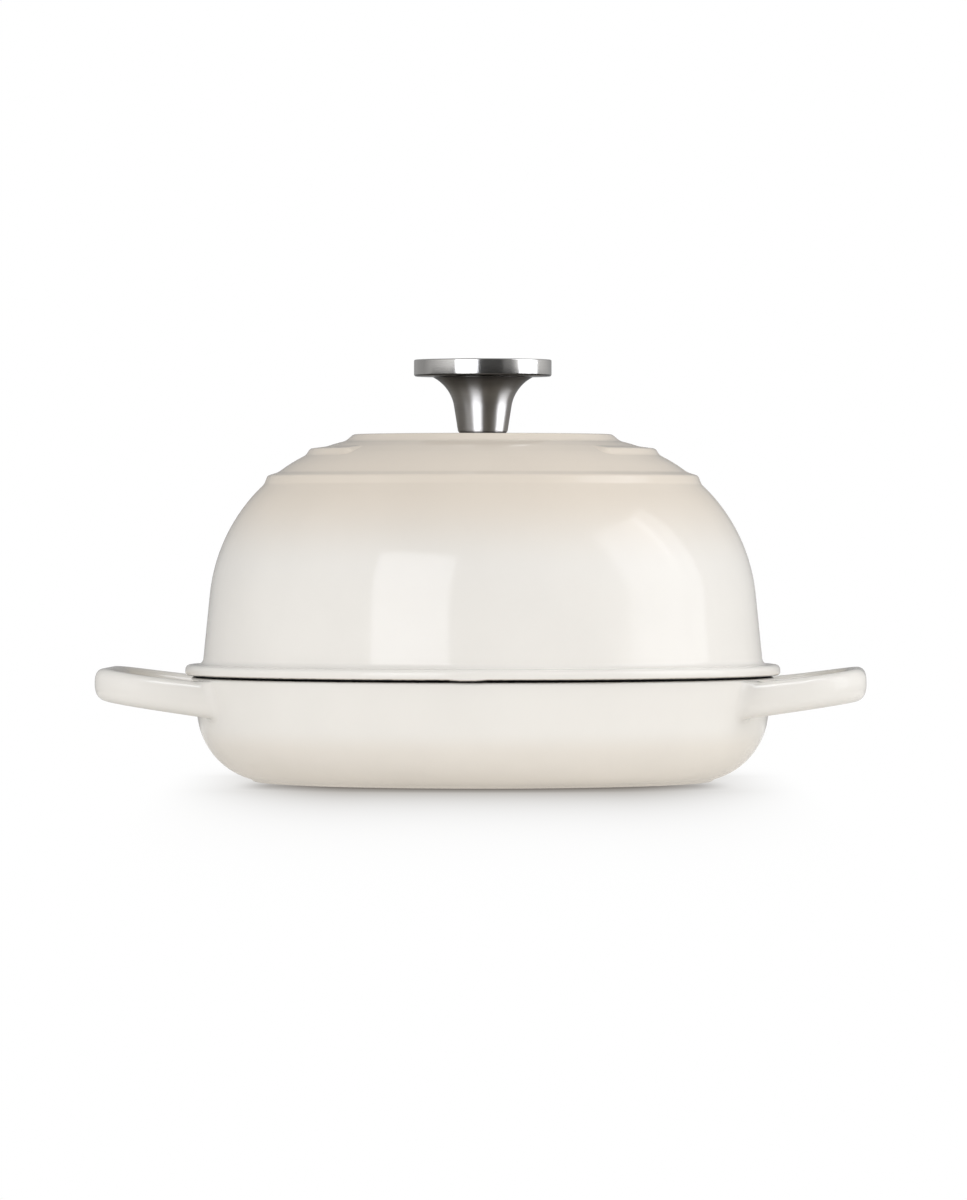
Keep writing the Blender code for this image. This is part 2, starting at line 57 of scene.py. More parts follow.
# Pan
# One grey iron casting, sand cast, with its floor ridges and its foot ring. It is enamelled twice: black
# satin enamel inside and over the rim, and cream gloss enamel over the rest, sprayed and fired.

pan_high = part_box("base_pan")[1]
lid_low, lid_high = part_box("lid_dome")

flange_overhang = 0.0022
seat_gap = 0.00065
lip_depth = 0.0035
rim_radius = lid_high.x - flange_overhang
seat_height = lid_low.z + lip_depth
pan_height = seat_height - seat_gap
pan_wall = 0.0045
pan_draft = radians(9.6)
corner_radius = 0.030
rim_round = 0.0013
black_below_rim = 0.0002
floor_height = 0.0055
foot_radius = 0.0956
foot_width = 0.0105
foot_flare = 0.0014
foot_fillet = 0.0030
foot_edge_round = 0.0008
foot_hollow = 0.0010
underside_fillet = 0.0015
ridge_pitch = 0.010
ridge_half = 0.0022
ridge_spread = 1.6
ridge_height = 0.0010
ridge_round = 0.0016
ridge_margin = 0.013
bare_radius = 0.030
coarse_turn = 12.0
fillet_share = 0.48
weld_distance = 0.000002


def arc(centre, radius, start, end, turn=4.0):
    """Points from angle start to angle end round centre, one for each turn of so many degrees."""
    count = max(2, ceil(abs(end - start) / radians(turn)))
    steps = [start + (end - start) * i / count for i in range(count + 1)]
    return [Vector(centre) + radius * Vector((cos(a), sin(a))) for a in steps]


def rounded(corners, turn=7.0):
    """The open outline through corners (x, y) or (x, y, fillet), each fillet held to what its sides allow."""
    points = [Vector(corners[0][:2])]
    for before, corner, after in zip(corners, corners[1:], corners[2:]):
        here = Vector(corner[:2])
        fillet = corner[2] if len(corner) > 2 else 0.0
        back, ahead = Vector(before[:2]) - here, Vector(after[:2]) - here
        half = back.angle(ahead) / 2
        if fillet <= 0.0 or pi / 2 - half < 1e-4:
            points.append(here)
            continue
        reach = min(fillet / tan(half), fillet_share * min(back.length, ahead.length))
        radius = reach * tan(half)
        back.normalize()
        ahead.normalize()
        centre = here + (back + ahead).normalized() * (radius / sin(half))
        first = here + back * reach - centre
        last = here + ahead * reach - centre
        start = atan2(first.y, first.x)
        sweep = remainder(atan2(last.y, last.x) - start, tau)
        points += arc(centre, radius, start, start + sweep, turn)
    return points + [Vector(corners[-1][:2])]


def touching_centre(wall_point, lean, radius, centre_height):
    """Centre at centre_height of an arc that touches, from inside, the wall through wall_point."""
    below = (wall_point.y - centre_height) * sin(lean)
    return Vector((wall_point.x - (radius - below) / cos(lean), centre_height))


def feed(node, inputs):
    """Gives each named input of a node a value, or links it to an output."""
    for key, value in inputs.items():
        if isinstance(value, bpy.types.Node):
            value = value.outputs[0]
        if isinstance(value, bpy.types.NodeSocket):
            node.id_data.links.new(value, node.inputs[key])
        else:
            node.inputs[key].default_value = value


# The functions below add to the node tree in hand, which is the one that tree names at the time


def add(kind, inputs=None, **settings):
    """A new node, a shader node unless its kind says otherwise, with its settings and inputs."""
    node = tree.nodes.new(kind if "Node" in kind else "ShaderNode" + kind)
    for name, value in settings.items():
        setattr(node, name, value)
    feed(node, inputs or {})
    return node


def calc(operation, *values):
    """The result of one step of arithmetic."""
    return add("Math", dict(enumerate(values)), operation=operation).outputs[0]


def vectors(operation, *values):
    """The same for vectors: the result, and its size where that is asked for."""
    return add("VectorMath", dict(enumerate(values)), operation=operation).outputs


def ramp(value, start, end, low=0.0, high=1.0, kind="LINEAR"):
    """Low where the value is at start, high where it is at end, and between them on the way."""
    span = {"Value": value, "From Min": start, "From Max": end, "To Min": low, "To Max": high}
    return add("MapRange", span, interpolation_type=kind).outputs[0]


def ease(value, start, end, high=1.0):
    """The same from 0, with a smooth start and a smooth end."""
    return ramp(value, start, end, 0.0, high, "SMOOTHSTEP")


def parts(vector):
    """The vector's X, Y and Z."""
    return add("SeparateXYZ", {0: vector}).outputs


def turning_tree():
    """Turns a profile, a chain of points in the XZ plane, round Z as a casting is swept from its template.

    The profile's points carry facts: ringed is where the point lies on a raised arc, drop is how far it sinks
    at a nub, and glaze is how far it lies past the edge of the cream coat.
    """
    global tree
    tree = bpy.data.node_groups.new("Turned casting", "GeometryNodeTree")
    socket = tree.interface.new_socket
    socket("Profile", in_out="INPUT", socket_type="NodeSocketGeometry")
    numbers = {
        "Segments": 360, "Closed": 0, "Crowding": 0.0,
        "Arc half angle": 0.0, "Arc middle radius": 1.0, "Arc half width": 0.001, "Arc fade": 0.001,
        "Nub count": 1, "First nub angle": 0.0, "Nub half width": 0.001, "Nub flat half width": 0.0005,
    }
    for name, value in numbers.items():
        kind = "NodeSocketInt" if isinstance(value, int) else "NodeSocketFloat"
        socket(name, in_out="INPUT", socket_type=kind).default_value = value
    socket("Material", in_out="INPUT", socket_type="NodeSocketMaterial")
    socket("Mesh", in_out="OUTPUT", socket_type="NodeSocketGeometry")
    given = add("NodeGroupInput").outputs

    # One grid row for each profile point, and one column for each step of the turn
    count = add("GeometryNodeAttributeDomainSize", {0: given["Profile"]}, component="MESH")
    rows = calc("ADD", count, given["Closed"])
    columns = calc("ADD", given["Segments"], 1.0)
    grid = add("GeometryNodeMeshGrid", {"Vertices X": rows, "Vertices Y": columns})
    index = add("GeometryNodeInputIndex")
    row = calc("FLOOR", calc("DIVIDE", index, columns))
    wrapped = calc("FLOORED_MODULO", row, count)
    column = calc("FLOORED_MODULO", index, columns)
    sampled = {}
    vector, number = "FLOAT_VECTOR", "FLOAT"
    for name, kind in (("position", vector), ("ringed", vector), ("drop", number), ("glaze", number)):
        source = add("GeometryNodeInputNamedAttribute", {"Name": name}, data_type=kind)
        wanted = {"Geometry": given["Profile"], "Value": source, "Index": wrapped}
        sampled[name] = add("GeometryNodeSampleIndex", wanted, data_type=kind, domain="POINT")

    # The angle, with its steps crowded together at 45 degrees to the axes, where the arcs end
    even = calc("MULTIPLY", calc("DIVIDE", column, given["Segments"]), tau)
    wave = calc("SINE", calc("MULTIPLY", even, 4.0))
    angle = calc("MULTIPLY_ADD", wave, calc("MULTIPLY", given["Crowding"], 0.25), even)

    # How far inside a raised arc the point is, where the arc has round ends and faces +X or -X
    radius = parts(sampled["position"])["X"]
    folded = calc("PINGPONG", angle, pi / 2)
    short = calc("SUBTRACT", given["Arc half angle"], folded)
    along = calc("MULTIPLY", short, given["Arc middle radius"])
    aside = calc("SUBTRACT", radius, given["Arc middle radius"])
    aside_square = calc("MULTIPLY", aside, aside)
    width_square = calc("MULTIPLY", given["Arc half width"], given["Arc half width"])
    chord_square = calc("MAXIMUM", calc("SUBTRACT", width_square, aside_square), 0.0)
    inset = calc("SUBTRACT", given["Arc half width"], calc("SQRT", chord_square))
    raised = ease(calc("SUBTRACT", along, inset), 0.0, given["Arc fade"])
    choice = {0: raised, 4: sampled["position"], 5: sampled["ringed"]}
    settled = parts(add("Mix", choice, data_type="VECTOR").outputs[1])

    # The nubs, evenly round: how far along the rim the point is from the nearest
    pitch = calc("DIVIDE", tau, given["Nub count"])
    half_pitch = calc("MULTIPLY", pitch, 0.5)
    past_first = calc("SUBTRACT", angle, given["First nub angle"])
    past_nub = calc("FLOORED_MODULO", calc("ADD", past_first, half_pitch), pitch)
    from_nub = calc("MULTIPLY", calc("SUBTRACT", past_nub, half_pitch), radius)
    swell = ease(calc("ABSOLUTE", from_nub), given["Nub half width"], given["Nub flat half width"])
    height = calc("MULTIPLY_ADD", swell, sampled["drop"], settled["Z"])

    across = calc("MULTIPLY", settled["X"], calc("COSINE", angle))
    back = calc("MULTIPLY", settled["X"], calc("SINE", angle))
    place = add("CombineXYZ", {0: across, 1: back, 2: height})
    shape = add("GeometryNodeSetPosition", {"Geometry": grid, "Position": place})
    glazed = {"Geometry": shape, "Name": "glaze", "Value": sampled["glaze"]}
    marked = add("GeometryNodeStoreNamedAttribute", glazed, data_type="FLOAT", domain="POINT")
    welded = add("GeometryNodeMergeByDistance", {"Geometry": marked, "Distance": weld_distance})
    smooth = add("GeometryNodeSetShadeSmooth", {"Geometry": welded})
    real = add("GeometryNodeRealizeInstances", {"Geometry": smooth})
    finish = add("GeometryNodeSetMaterial", {"Geometry": real, "Material": given["Material"]})
    add("NodeGroupOutput", {"Mesh": finish})
    return tree


turned_casting = turning_tree()


def full_turn(count):
    """This many angles, evenly round."""
    return np.arange(count) * tau / count


def face_out(mesh):
    """Turns the faces of a closed mesh outwards."""
    shape = bmesh.new()
    shape.from_mesh(mesh)
    bmesh.ops.recalc_face_normals(shape, faces=shape.faces)
    shape.to_mesh(mesh)
    shape.free()


def placed(name, contents):
    """An object in the scene that holds this mesh, lamp or camera."""
    thing = bpy.data.objects.new(name, contents)
    bpy.context.scene.collection.objects.link(thing)
    return thing


def turned(name, profile, material, facts=None, **inputs):
    """A closed mesh object turned from profile points (radius, height)."""
    mesh = bpy.data.meshes.new(name + "_profile")
    mesh.from_pydata([(p[0], 0.0, p[1]) for p in profile], [], [])
    facts = facts or {}
    ringed = mesh.attributes.new("ringed", "FLOAT_VECTOR", "POINT")
    ringed.data.foreach_set("vector", [c for p in facts.get("ringed", profile) for c in (p[0], 0.0, p[1])])
    for fact in ("drop", "glaze"):
        values = mesh.attributes.new(fact, "FLOAT", "POINT")
        values.data.foreach_set("value", facts.get(fact, [0.0] * len(profile)))
    template = placed(name + "_template", mesh)
    turning = template.modifiers.new("Turned casting", "NODES")
    turning.node_group = turned_casting
    inputs["Material"] = material
    for item in turned_casting.interface.items_tree:
        if item.name in inputs:
            turning[item.identifier] = inputs[item.name]
    bpy.context.view_layer.update()
    graph = bpy.context.evaluated_depsgraph_get()
    finished = bpy.data.meshes.new_from_object(template.evaluated_get(graph))
    finished.name = name
    bpy.data.objects.remove(template)
    face_out(finished)
    return placed(name, finished)


def linear(code):
    """An sRGB hex colour as the linear RGBA that a shader takes."""
    channels = [int(code[i : i + 2], 16) / 255 for i in (1, 3, 5)]
    return (*(c / 12.92 if c <= 0.04045 else ((c + 0.055) / 1.055) ** 2.4 for c in channels), 1.0)


def blend(share, first, second, **settings):
    """Two colours mixed in this share."""
    colours = {0: share, 6: first, 7: second}
    return add("Mix", colours, data_type="RGBA", **settings).outputs[2]


def noise(spot, size, detail):
    """Noise with lumps of about this size."""
    return add("TexNoise", {"Vector": spot, "Scale": 1 / size, "Detail": detail}).outputs[0]


# Fired enamel, sprayed as a slip and melted to glass: a glossy cream coat with a faint orange peel and slow
# waves, over a black satin one with a fine grain. The cream coat is thin where it ends, and its edge wanders.
cream_colour = "#EEEBE6"
# The shaded cream is painted shade for the crown and the foot, where less light falls
shaded_cream_colour = "#E8DED1"
# The thin coat's colour, at the cream's edge, and also painted shade inside the handles' bends
thin_coat_and_shade_colour = "#C2BBAF"
black_colour = "#161514"
foot_shade_levels = (0.024, 0.014)
foot_shade_share = 0.35
crown_shade_levels = (0.088, 0.122)
cream_roughness = (0.08, 0.14)
black_roughness = (0.30, 0.42)
sheen_size = 0.012
wave_size, wave_depth = 0.030, 0.00008
peel_size, peel_depth = 0.0050, 0.000010
grain_size, grain_depth = 0.0007, 0.00003
cloud_size = 0.045
cloud_tone = 0.965
wander_size = 0.0024
edge_wander = 0.00030
edge_softness = (-0.00004, 0.00008)
cream_full_depth = 0.0007
noise_span = (0.3, 0.7)

enamel = bpy.data.materials.new("Fired enamel, cream gloss and black satin")
enamel.use_nodes = True
tree = enamel.node_tree
spot = add("TexCoord").outputs["Object"]
glaze = add("Attribute", attribute_name="glaze").outputs["Fac"]
missed = add("Attribute", attribute_name="missed").outputs["Fac"]
shift = calc("MULTIPLY_ADD", noise(spot, wander_size, 2.0), 2 * edge_wander, -edge_wander)
covered = ramp(calc("ADD", glaze, shift), *edge_softness)
# Full cream where the coat is thick, held back to the thin-coat colour as painted shade in the handles' bends
full_cream_share = ramp(glaze, 0.0, cream_full_depth, 0.0, calc("SUBTRACT", 1.0, missed))
cloudy = ramp(noise(spot, cloud_size, 3.0), *noise_span, cloud_tone, 1.0)
# Painted shade: the cream turns darker and warmer over the crown and towards the foot
height = parts(spot)["Z"]
foot_shade = calc("MULTIPLY", ease(height, *foot_shade_levels), foot_shade_share)
painted_shade_share = calc("MAXIMUM", foot_shade, ease(height, *crown_shade_levels))
full = blend(painted_shade_share, linear(cream_colour), linear(shaded_cream_colour))
cream = blend(full_cream_share, linear(thin_coat_and_shade_colour), full)
clouded = blend(1.0, cream, cloudy, blend_type="MULTIPLY")
colour = blend(covered, linear(black_colour), clouded)
varied = noise(spot, sheen_size, 2.0)
black_sheen = ramp(varied, 0.0, 1.0, *black_roughness)
cream_sheen = ramp(varied, 0.0, 1.0, *cream_roughness)
sheen = add("Mix", {0: covered, 2: black_sheen, 3: cream_sheen}, data_type="FLOAT")
bump = None
for size, detail, depth, strength in (
    (wave_size, 1.0, wave_depth, 1.0),
    (peel_size, 1.0, peel_depth, 1.0),
    (grain_size, 2.0, grain_depth, calc("SUBTRACT", 1.0, covered)),
):
    relief = {"Height": noise(spot, size, detail), "Distance": depth, "Strength": strength}
    if bump:
        relief["Normal"] = bump
    bump = add("Bump", relief)
surface = {"Base Color": colour, "Roughness": sheen, "Normal": bump, "IOR": 1.5, "Specular IOR Level": 0.25}
feed(tree.nodes["Principled BSDF"], surface)


def past_level(points, level, first=0):
    """How far along the outline each point is past the place where it first sinks below this level."""
    run = [0.0]
    for before, after in zip(points, points[1:]):
        run.append(run[-1] + (after - before).length)
    i = next(i for i in range(first, len(points) - 1) if points[i].y >= level > points[i + 1].y)
    share = (points[i].y - level) / (points[i].y - points[i + 1].y)
    crossing = run[i] + share * (run[i + 1] - run[i])
    return [here - crossing for here in run]


# The pan's profile: out over the floor's ridges, up inside, over the rim, down outside and in under the foot
outer_rim = Vector((rim_radius, pan_height))
outer_centre = touching_centre(outer_rim, -pan_draft, corner_radius, corner_radius)
foot_angle = -acos(min(1.0, (foot_radius + foot_flare - outer_centre.x) / corner_radius))
inner_radius = corner_radius - pan_wall
inner_rim = Vector((rim_radius - pan_wall / cos(pan_draft), pan_height))
inner_centre = touching_centre(inner_rim, -pan_draft, inner_radius, floor_height + inner_radius)

ridge_steps = ((-ridge_spread, 0.0), (-0.5, ridge_height), (0.5, ridge_height), (ridge_spread, 0.0))
ridges = []
ridge = inner_centre.x - ridge_margin
while ridge - ridge_half > bare_radius:
    ridges = [(ridge + s * ridge_half, floor_height + h, ridge_round) for s, h in ridge_steps] + ridges
    ridge -= ridge_pitch
floor = rounded([(0, floor_height), *ridges, (inner_centre.x, floor_height)], coarse_turn)
inside = arc(inner_centre, inner_radius, -pi / 2, -pan_draft)
outside = arc(outer_centre, corner_radius, -pan_draft, foot_angle)
rim = rounded([inside[-1], (*inner_rim, rim_round), (*outer_rim, rim_round), outside[0]], coarse_turn)
foot = [
    outside[-2],
    (*outside[-1], foot_fillet),
    (foot_radius, 0, foot_edge_round),
    (foot_radius - foot_width, 0, foot_edge_round),
    (foot_radius - foot_width - 2 * foot_hollow, foot_hollow, underside_fillet),
    (0, foot_hollow),
]
pan_profile = floor[:-1] + inside[:-1] + rim + outside[1:-2] + rounded(foot, coarse_turn)
rim_top = max(range(len(pan_profile)), key=lambda i: pan_profile[i].y)
pan_glaze = past_level(pan_profile, pan_height - black_below_rim, rim_top)
pan = turned("pan_casting", pan_profile, enamel, {"glaze": pan_glaze}, Segments=320)


# Loop handles
# Cast in one with the pan: a bar of oval section that runs out of the wall, across and back, and rises a
# little to its tip. Wide fillets at the roots let the iron flow in, and the same cream enamel covers it all.

bar_half_width = 0.0052
bar_half_depth = 0.00675
bar_squareness = 0.8
bar_sides = 56
half_span = 0.048
bend_radius = 0.023
handle_drop = 0.00135
handle_tilt = radians(8.5)
arm_shares = (0.33, 0.67, 1.0)
bend_step = 6.0
outer_root_fillet = 0.008
inner_root_fillet = 0.006
lower_root_fillet = 0.003
upper_root_fillet = 0.0040
root_reach = (0.08, rim_radius + 0.02)
root_below_rim = 0.0011
root_softness = 0.00025
root_rise = 0.0010
root_rise_reach = 0.016
swing_steps = 181
halvings = 50
root_steps = 10
skirt_share = 0.5
skirt_lengths = (0.0004, 0.0014)
skirt_steps = ((0.35, 0.000003), (0.7, 0.000015), (1.0, 0.00006), (1.1, 0.0012))
handle_glaze = 0.02
bar_height = pan_height - handle_drop - bar_half_depth
rise = tan(handle_tilt)
tip = pan_high.x - bar_half_width


def wall_distance(points):
    """How far outside the pan's wall the points are, and the wall's outward direction there."""
    radius = np.hypot(points[..., 0], points[..., 1])
    over = np.stack([radius - outer_centre.x, points[..., 2] - outer_centre.y], -1)
    length = np.linalg.norm(over, axis=-1)
    lean = np.array([cos(pan_draft), -sin(pan_draft)])
    on_corner = np.arctan2(over[..., 1], over[..., 0]) < -pan_draft
    direction = np.where(on_corner[..., None], over / length[..., None], lean)
    flat = direction[..., :1] * points[..., :2] / radius[..., None]
    distance = np.where(on_corner, length, over @ lean) - corner_radius
    return distance, np.concatenate([flat, direction[..., 1:]], -1)


def stretched(values, power):
    """The values' sizes raised to this power, with their signs kept."""
    return np.copysign(np.abs(values) ** power, values)


turns = full_turn(bar_sides)
cosines, sines = np.cos(turns), np.sin(turns)
section_out = stretched(cosines, bar_squareness)
section_up = stretched(sines, bar_squareness)
facing_out = stretched(section_out, 2 / bar_squareness - 1) / bar_half_width
facing_up = stretched(section_up, 2 / bar_squareness - 1) / bar_half_depth


def bar_ring(x, y, out_x, out_y):
    """The bar's section where its middle is at (x, y) and its outer side faces (out_x, out_y)."""
    ring = np.zeros((bar_sides, 3))
    ring[:, 0] = x + bar_half_width * section_out * out_x
    ring[:, 1] = y + bar_half_width * section_out * out_y
    ring[:, 2] = bar_height + bar_half_depth * section_up + rise * (ring[:, 0] - rim_radius)
    return ring


def root_rings():
    """The rings from inside the wall, out through the root's fillet, to where the front arm's bar is free.

    Each fillet is the arc of a ball that rolls in the corner and touches the bar and the wall.
    """
    along = np.array([1.0, 0.0, rise]) / hypot(1.0, rise)
    facing = np.stack([np.zeros(bar_sides), -facing_out, facing_up], -1)
    facing -= (facing @ along)[:, None] * along
    facing /= np.linalg.norm(facing, axis=1)[:, None]
    side = np.where(cosines > 0, outer_root_fillet, inner_root_fillet)
    level = np.where(sines > 0, upper_root_fillet, lower_root_fillet)
    fillet = (side * cosines**2 + level * sines**2)[:, None]
    swing = np.linspace(0.0, pi, swing_steps)
    swings = np.broadcast_to(swing, (bar_sides, len(swing)))

    def ball_arc(x, angles):
        middle = bar_ring(0.0, -half_span, 0.0, -1.0) + x[:, None] * [1.0, 0.0, rise] + fillet * facing
        turned_by = np.cos(angles)[..., None] * facing[:, None] + np.sin(angles)[..., None] * along
        return middle[:, None] - fillet[:, None] * turned_by

    cuts_wall, clears_wall = (np.full(bar_sides, reach) for reach in root_reach)
    for _ in range(halvings):
        tried = (cuts_wall + clears_wall) / 2
        clear = wall_distance(ball_arc(tried, swings))[0].min(1) > 0
        cuts_wall, clears_wall = np.where(clear, cuts_wall, tried), np.where(clear, tried, clears_wall)
    touch = swing[wall_distance(ball_arc(clears_wall, swings))[0].argmin(1)]
    rows = [ball_arc(clears_wall, (touch * share)[:, None])[:, 0] for share in np.linspace(1, 0, root_steps)]

    # A skirt runs on along the wall and sinks into it so slowly that no line shows where it goes under
    step = rows[0] - rows[1]
    step /= np.linalg.norm(step, axis=1)[:, None]
    length = np.clip(skirt_share * fillet, *skirt_lengths)
    skirts = []
    for share, sunk in skirt_steps:
        skirt = rows[0] + step * length * share
        away, outward = wall_distance(skirt)
        skirts.insert(0, skirt - outward * (away + sunk)[:, None])
    return skirts + rows


def skinned(name, rings, material, closed_round=False, crease=pi):
    """A smooth mesh over rings of points, sharp where it turns by more than the crease's angle.

    The last ring joins the first, or one face closes each end.
    """
    count, sides = len(rings), len(rings[0])
    around = np.arange(sides)
    faces = []
    for row in range(count if closed_round else count - 1):
        first = row * sides + around
        second = row * sides + (around + 1) % sides
        onward = ((row + 1) % count - row) * sides
        faces += np.stack([first, second, second + onward, first + onward], -1).tolist()
    if not closed_round:
        faces += [around[::-1].tolist(), ((count - 1) * sides + around).tolist()]
    mesh = bpy.data.meshes.new(name)
    mesh.from_pydata(np.asarray(rings).reshape(-1, 3).tolist(), [], faces)
    face_out(mesh)
    mesh.materials.append(material)
    mesh.shade_smooth()
    if crease < pi:
        mesh.set_sharp_from_angle(angle=crease)
    return placed(name, mesh)


root = root_rings()
free = tip - bend_radius
front_arm = [root[-1] * (1 - s) + bar_ring(free, -half_span, 0, -1) * s for s in arm_shares]
bend = []
for angle in np.radians(np.arange(bend_step - 90.0, 0.1, bend_step)):
    out = np.array([cos(angle), sin(angle)])
    corner = np.array([free, bend_radius - half_span]) + bend_radius * out
    bend.append(bar_ring(*corner, *out))
front = np.array(root + front_arm + bend)

# The bar's top rises to meet the rim, and flattens out under it, so that no fillet stands above the rim
away = np.maximum(wall_distance(front)[0], 0)
front[..., 2] += root_rise * np.exp(-((away / root_rise_reach) ** 2)) * np.clip(section_up, 0, 1)
ends = front[: len(root)]
below = pan_height - root_below_rim - ends[..., 2]
sunk = root_softness * np.logaddexp(0.0, below / root_softness) - below
ends[..., :2] *= (1 - sunk * tan(pan_draft) / np.hypot(ends[..., 0], ends[..., 1]))[..., None]
ends[..., 2] -= sunk
rings = np.concatenate([front, front[::-1] * [1, -1, 1]])

# Painted shade: the inner side of the bends faces the pan and lies in shade, so the cream there is drawn in
# the darker thin-coat colour
bend_depth = np.clip((rings[..., 0] - free) / bend_radius, 0, 1)
bar_painted_bend_shade = bend_depth * np.clip(-cosines, 0, 1) ** 0.5
for name, turn in (("handle_right", 0.0), ("handle_left", pi)):
    loop = skinned(name, rings, enamel)
    loop.data.transform(Matrix.Rotation(turn, 4, "Z"))
    for fact, values in (("glaze", np.full(bar_painted_bend_shade.size, handle_glaze)), ("missed", bar_painted_bend_shade.ravel())):
        loop.data.attributes.new(fact, "FLOAT", "POINT").data.foreach_set("value", values)
    with bpy.context.temp_override(active_object=pan, selected_editable_objects=[pan, loop]):
        bpy.ops.object.join()

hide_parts("base_pan")
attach(pan, "pan")


# Lid
# A second grey iron casting, enamelled like the pan. Its crown steps down in three terraces, the middle one
# in two arcs that face the handles. Below are a flange, three nubs that rest on the rim, and a lip that
# drops in.

flange_thickness = 0.0044
flange_top_round = 0.0027
black_above_seat = 0.0003
flange_fillet = 0.0028
flange_lower_round = 0.0012
lip_fillet = 0.0006
lip_clearance = 0.0010
dome_over_lip = 0.0005
dome_draft = radians(5.8)
dome_wall = 0.0040
crown_radius = 0.0729
crown_height = 0.0264
outer_inset = 0.0256
terrace_pitch = 0.0174
terrace_step = 0.0017
terrace_side = 0.0025
terrace_round = 0.0020
terrace_fillet = 0.0036
terrace_lead = 0.0036
outer_width = 0.0059
middle_width = 0.0086
middle_half_angle = radians(44.5)
middle_fade = 0.0030
plateau_side = 0.0025
plateau_spread = 0.0008
plateau_round = 0.0026
plateau_fillet = 0.0060
screw_hole_radius = 0.0034
nub_drop = 0.0005
nub_half_width = 0.0075
nub_flat_half_width = 0.0035
nub_inset = 0.0008
nub_fade_out = 0.0015
nub_fade_up = 0.0022
crown_turn = 2.0

lip_radius = inner_rim.x - lip_clearance
dome_foot = Vector((lip_radius + dome_over_lip, flange_thickness))
crown_centre = touching_centre(dome_foot, dome_draft, crown_radius, crown_height)
ceiling_radius = crown_radius - dome_wall
wall_direction = Vector((cos(dome_draft), sin(dome_draft)))
outer_edge = dome_foot.x - outer_inset
middle_edge = outer_edge - terrace_pitch
plateau_edge = middle_edge - terrace_pitch
plateau_height = lid_high.z - seat_height


def crown_angle(radius):
    """Where on the crown's arc this radius is met."""
    return acos((radius - crown_centre.x) / crown_radius)


def crown_point(radius, proud=0.0):
    """The crown's surface above this radius, or the point that stands proud of it there."""
    angle = crown_angle(radius)
    return crown_centre + (crown_radius + proud) * Vector((cos(angle), sin(angle)))


def crown_arc(first_radius, last_radius):
    """The crown's surface from one radius out to a larger one, without its ends."""
    angles = crown_angle(first_radius), crown_angle(last_radius)
    return arc(crown_centre, crown_radius, *angles, crown_turn)[1:-1]


def terrace(edge, width):
    """One terrace with the crown on both sides: level with it at the inner edge, proud of it at the outer."""
    corners = [
        crown_point(edge - width - terrace_lead),
        (*crown_point(edge - width), terrace_fillet * 2),
        (*crown_point(edge - terrace_side, terrace_step), terrace_round),
        (*crown_point(edge), terrace_fillet),
        crown_point(edge + terrace_lead),
    ]
    return rounded(corners)


def nub_share(point):
    """How far a nub pulls this point down: fully under the flange, and not at all on the lip or above."""
    if point.y < 0:
        return 0.0
    clear_of_lip = min(1.0, max(0.0, (point.x - lip_radius - nub_inset) / nub_fade_out))
    return clear_of_lip * min(1.0, max(0.0, 1 - point.y / nub_fade_up))


plateau_corners = [
    (screw_hole_radius, plateau_height),
    (plateau_edge - plateau_side, plateau_height, plateau_round),
    (*crown_point(plateau_edge + plateau_spread), plateau_fillet),
    crown_point(plateau_edge + terrace_lead),
]
middle_ring = terrace(middle_edge, middle_width)
outer_ring = terrace(outer_edge, outer_width)
shoulder_start = crown_angle(outer_edge + terrace_lead)
shoulder = arc(crown_centre, crown_radius, shoulder_start, dome_draft, crown_turn)[1:]
wall_across = dome_wall / cos(dome_draft)
lip_inner = dome_foot.x - wall_across + (flange_thickness + lip_depth) * tan(dome_draft)
flange = [
    crown_centre + crown_radius * wall_direction,
    (*dome_foot, flange_fillet),
    (lid_high.x, flange_thickness, flange_top_round),
    (lid_high.x, 0, flange_lower_round),
    (lip_radius, 0, lip_fillet),
    (lip_radius, -lip_depth, lip_clearance),
    (lip_inner, -lip_depth, lip_clearance),
    crown_centre + ceiling_radius * wall_direction,
]
ceiling = arc(crown_centre, ceiling_radius, dome_draft, pi / 2)
below_shoulder = rounded(flange, turn=10.0)[1:] + ceiling[1:] + [Vector((screw_hole_radius, ceiling[-1].y))]
inner_crown = crown_arc(plateau_edge + terrace_lead, middle_edge - middle_width - terrace_lead)
top_part = rounded(plateau_corners) + inner_crown
outer_crown = crown_arc(middle_edge + terrace_lead, outer_edge - outer_width - terrace_lead)
low_part = outer_crown + outer_ring + shoulder + below_shoulder
lid_profile = top_part + [crown_point(p.x) for p in middle_ring] + low_part
raised_profile = top_part + middle_ring + low_part
lifted = Vector((0, seat_height))
lid_facts = {
    "ringed": [p + lifted for p in raised_profile],
    "drop": [-nub_drop * nub_share(p) for p in lid_profile],
    "glaze": [-past for past in past_level(lid_profile, black_above_seat)],
}
lid_inputs = {
    "Segments": 440,
    "Closed": 1,
    "Crowding": 0.5,
    "Arc half angle": middle_half_angle,
    "Arc middle radius": middle_edge - middle_width / 2,
    "Arc half width": middle_width / 2,
    "Arc fade": middle_fade,
    "Nub count": 3,
    "First nub angle": radians(-90.0),
    "Nub half width": nub_half_width,
    "Nub flat half width": nub_flat_half_width,
}
lid = turned("lid_casting", [p + lifted for p in lid_profile], enamel, lid_facts, **lid_inputs)
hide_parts("lid_dome")
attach(lid, "lid")


# Knob stem
# Turned from stainless steel bar and left satin, with the fine rings of the tool still in it. It is bored
# out to save weight, and its spigot stands in the cap's pocket.

stem_low, stem_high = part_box("knob_stem")
cap_low, cap_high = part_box("knob_cap")
bush_low, bush_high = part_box("knob_insert")

seat_clearance = 0.0003
flare_edge = 0.0001
flare_edge_round = 0.00004
flare_sweep = 0.0164
stem_foot_radius = 0.0102
stem_foot_round = 0.0018
stem_taper = radians(9.0)
stem_wall = 0.0015
bore_round = 0.0003
spigot_radius = 0.0167
spigot_top_round = 0.0004
spigot_inner_round = 0.0002
gloss_spread = (0.85, 1.2)
line_drift = 0.02


